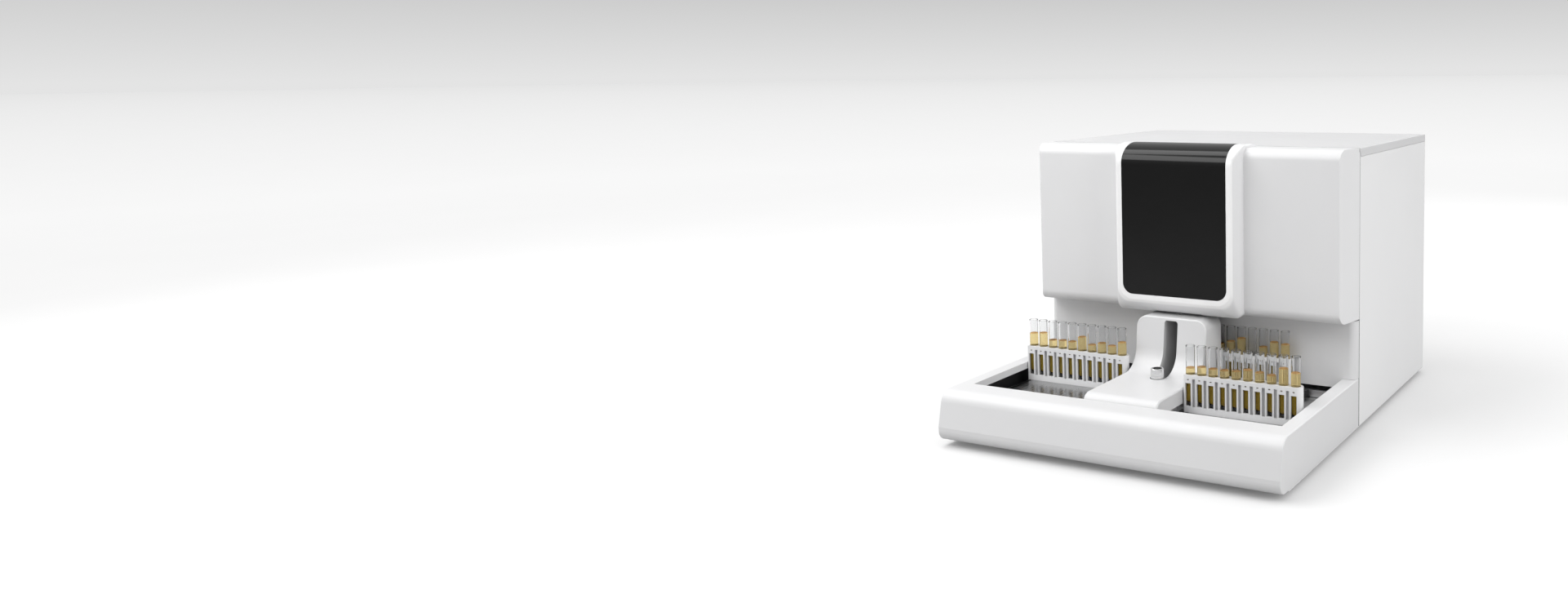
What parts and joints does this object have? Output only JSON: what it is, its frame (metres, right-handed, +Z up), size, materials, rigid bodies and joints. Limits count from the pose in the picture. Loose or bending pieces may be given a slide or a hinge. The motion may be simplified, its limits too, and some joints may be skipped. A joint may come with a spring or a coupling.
{
  "type": "urine sediment analyzer",
  "caption": "Bench-top urine sediment analyzer with a hinged front cover, a rack tray, sample racks and a single-tube holder.",
  "frame": {"origin": "centre of the whole outline on the bench, under the feet", "axes": "+X to the operator's right, +Y to the back, +Z up"},
  "size_m": [0.596, 0.794, 0.483],
  "materials": {
    "white_plastic": "satin",
    "painted_sheet": "satin",
    "black_panel": "gloss",
    "black_plastic": "satin",
    "grey_plastic": "satin",
    "brushed_steel": "brushed",
    "aluminium": "satin",
    "chrome": "polished",
    "clear_tube": "gloss",
    "urine": "gloss",
    "rubber": "matte",
    "glass": "gloss"
  },
  "bodies": {
    "housing": {"base_plate": "painted_sheet", "feet": "rubber", "left_side_panel": "painted_sheet", "right_side_panel": "painted_sheet", "top_cover": "painted_sheet", "rack_tray": "white_plastic", "lower_front_panel": "white_plastic", "hinge_fixed_leaves": "brushed_steel", "hinge_pins": "brushed_steel", "catch_magnets": "black_plastic", "left_lane_floor": "brushed_steel", "right_lane_floor": "brushed_steel", "shuttle_rails": "brushed_steel", "channel_floor": "brushed_steel", "channel_guide": "brushed_steel", "cross_shuttle_rail": "brushed_steel", "bridge_cover": "white_plastic", "bridge_stands": "painted_sheet", "holder_rail": "brushed_steel", "bulkhead": "painted_sheet", "screws": "brushed_steel", "probe_beam": "aluminium", "pump_body": "grey_plastic", "pump_barrel": "glass", "optics_base": "aluminium", "optics_camera": "black_plastic", "optics_objective": "chrome", "flow_cell": "glass", "optics_lamp": "grey_plastic", "rear_panel": "painted_sheet", "fluid_ports": "white_plastic", "power_inlet": "black_plastic", "switch_frame": "black_plastic", "fan_frame": "black_plastic"},
    "cover": {"front_cover": "white_plastic", "front_window": "black_panel", "hinge_moving_leaves": "brushed_steel", "catch_plates": "brushed_steel"},
    "left_rack_drive": {"left_shuttle": "aluminium", "left_rack": "white_plastic", "left_tubes": "clear_tube", "left_samples": "urine"},
    "right_rack_drive": {"right_shuttle": "aluminium", "right_rack": "white_plastic", "right_tubes": "clear_tube", "right_samples": "urine"},
    "cross_drive": {"cross_shuttle": "black_plastic", "middle_rack": "white_plastic", "middle_tubes": "clear_tube", "sampled_tube": "clear_tube", "middle_samples": "urine"},
    "single_tube_slide": {"tube_holder": "black_plastic", "tube_collar": "chrome"},
    "carriage": {"probe_carriage": "aluminium", "lift_rail": "brushed_steel"},
    "probe": {"probe_holder": "aluminium", "probe_needle": "brushed_steel"},
    "plunger": {"pump_plunger": "aluminium"},
    "rocker": {"power_rocker": "black_plastic"},
    "fan": {"fan_rotor": "black_plastic"}
  },
  "joints": [
    {"name": "cover_hinge", "type": "hinge", "parent": "housing", "child": "cover", "pos_m": [0, -0.039, 0.4735], "axis": [-1, 0, 0], "range_deg": [0, 70]},
    {"name": "left_rack_slide", "type": "slide", "parent": "housing", "child": "left_rack_drive", "axis": [0, 1, 0], "range_m": [-0.148, 0.091]},
    {"name": "right_rack_slide", "type": "slide", "parent": "housing", "child": "right_rack_drive", "axis": [0, 1, 0], "range_m": [-0.084, 0.131]},
    {"name": "cross_rack_slide", "type": "slide", "parent": "housing", "child": "cross_drive", "axis": [1, 0, 0], "range_m": [-0.264, 0.0757]},
    {"name": "single_tube_slide", "type": "slide", "parent": "housing", "child": "single_tube_slide", "axis": [0, 1, 0], "range_m": [0, 0.087]},
    {"name": "probe_travel", "type": "slide", "parent": "housing", "child": "carriage", "axis": [0, 1, 0], "range_m": [-0.035, 0]},
    {"name": "probe_lift", "type": "slide", "parent": "carriage", "child": "probe", "axis": [0, 0, 1], "range_m": [-0.105, 0]},
    {"name": "syringe_stroke", "type": "slide", "parent": "housing", "child": "plunger", "axis": [0, 0, 1], "range_m": [-0.045, 0]},
    {"name": "rocker_tilt", "type": "hinge", "parent": "housing", "child": "rocker", "pos_m": [0.215, 0.3776, 0.097], "axis": [1, 0, 0], "range_deg": [-10, 10]},
    {"name": "fan_spin", "type": "hinge", "parent": "housing", "child": "fan", "pos_m": [0.15, 0.366, 0.33], "axis": [0, 1, 0], "continuous": true}
  ]
}
